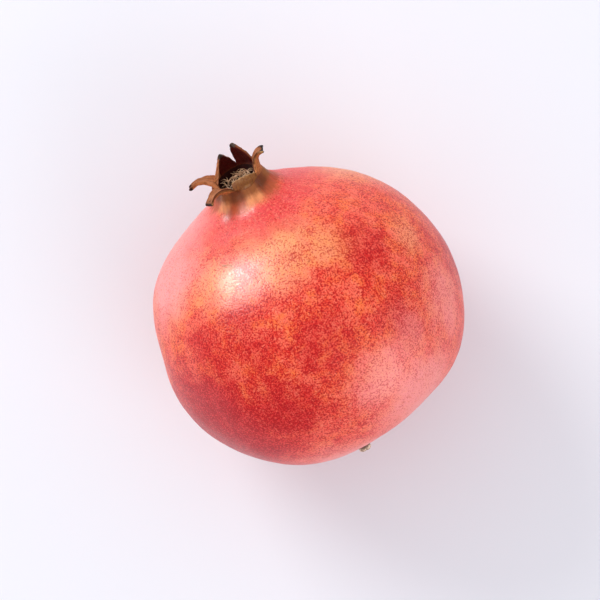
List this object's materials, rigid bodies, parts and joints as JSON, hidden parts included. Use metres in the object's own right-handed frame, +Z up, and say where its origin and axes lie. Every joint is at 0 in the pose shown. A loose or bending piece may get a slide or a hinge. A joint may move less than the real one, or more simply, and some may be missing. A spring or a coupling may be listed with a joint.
{
  "type": "pomegranate",
  "caption": "Whole ripe pomegranate lying on its side on a small flat spot, with a short neck, a crown of curled sepals round dried stamens, and the stub of its stem.",
  "frame": {"origin": "centre of the flat spot that the fruit rests on", "axes": "+Z up, out of the ground; the crown points towards -Y and is raised about 23 degrees; the stem end points towards +Y"},
  "size_m": [0.0962, 0.103, 0.0942],
  "materials": {
    "rind": "waxy, semi-gloss, orange-red mottled with dark red specks",
    "sepal": "dry, leathery, rust-brown outside and dark maroon inside",
    "stamen": "dry, matt, pale pinkish tan",
    "stem": "dry, matt, cream wood with dark bark"
  },
  "bodies": {
    "root": {"fruit": "rind", "sepal_1": "sepal", "sepal_2": "sepal", "sepal_3": "sepal", "sepal_4": "sepal", "sepal_5": "sepal", "sepal_6": "sepal", "stamen_01": "stamen", "stamen_02": "stamen", "stamen_03": "stamen", "stamen_04": "stamen", "stamen_05": "stamen", "stamen_06": "stamen", "stamen_07": "stamen", "stamen_08": "stamen", "stamen_09": "stamen", "stamen_10": "stamen", "stamen_11": "stamen", "stamen_12": "stamen", "stamen_13": "stamen", "stamen_14": "stamen", "stamen_15": "stamen", "stamen_16": "stamen", "stamen_17": "stamen", "stamen_18": "stamen", "stamen_19": "stamen", "stamen_20": "stamen", "stamen_21": "stamen", "stamen_22": "stamen", "stamen_23": "stamen", "stamen_24": "stamen", "stamen_25": "stamen", "stamen_26": "stamen", "stamen_27": "stamen", "stamen_28": "stamen", "stamen_29": "stamen", "stamen_30": "stamen", "stamen_31": "stamen", "stamen_32": "stamen", "stamen_33": "stamen", "stamen_34": "stamen", "stamen_35": "stamen", "stamen_36": "stamen", "stamen_37": "stamen", "stamen_38": "stamen", "style": "stamen", "stem_stub": "stem"}
  },
  "joints": []
}
